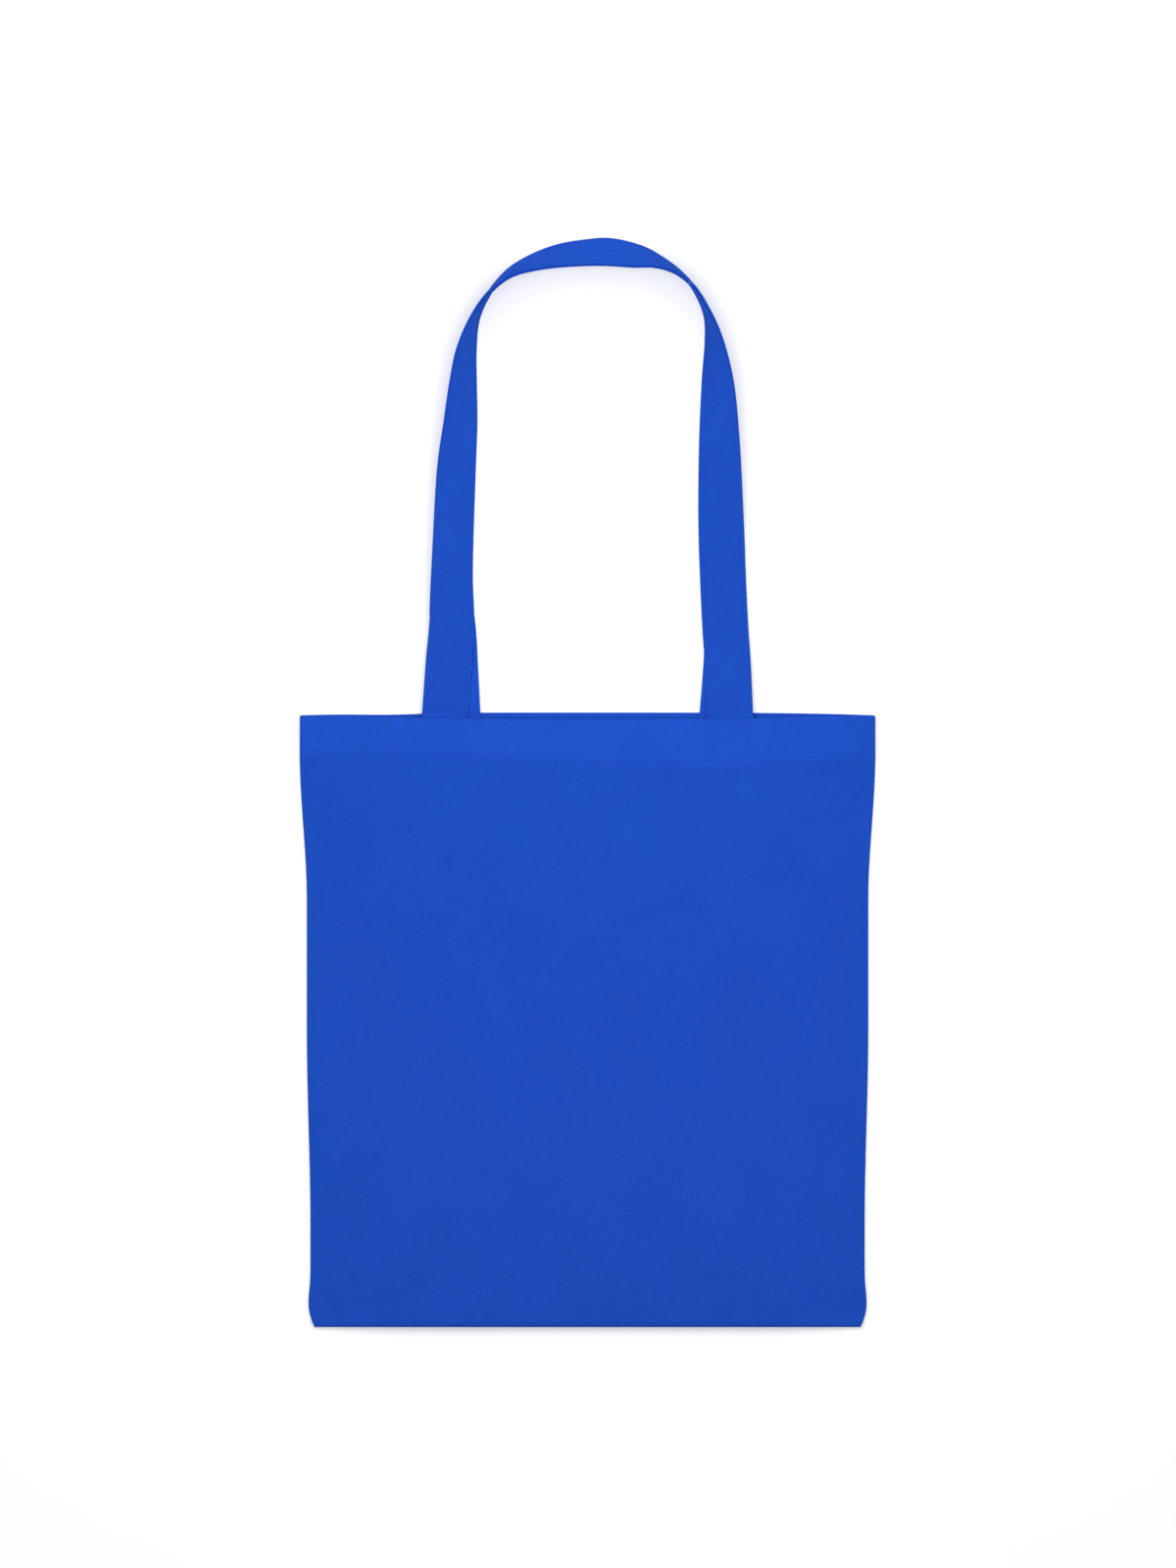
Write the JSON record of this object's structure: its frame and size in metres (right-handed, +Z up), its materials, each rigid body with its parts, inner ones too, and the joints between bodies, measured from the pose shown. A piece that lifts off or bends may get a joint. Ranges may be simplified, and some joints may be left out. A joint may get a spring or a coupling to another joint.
{
  "type": "cotton tote bag",
  "caption": "Flat cotton tote bag with an open hemmed mouth and two long flat handles, lying on its back panel.",
  "frame": {"origin": "middle of the whole outline, bag and handles, on the surface the bag lies on", "axes": "+Y from the bottom fold through the mouth to the handles' loop, +Z up out of the front panel, +X across the bag"},
  "size_m": [0.3874, 0.7336, 0.0312],
  "materials": {
    "body_cotton": "plain-weave cotton, royal blue, matt",
    "front_handle_cotton": "plain-weave cotton, royal blue, matt",
    "back_handle_cotton": "plain-weave cotton, royal blue, matt"
  },
  "bodies": {
    "root": {"bag_body": "body_cotton", "front_handle": "front_handle_cotton", "back_handle": "back_handle_cotton"}
  },
  "joints": []
}
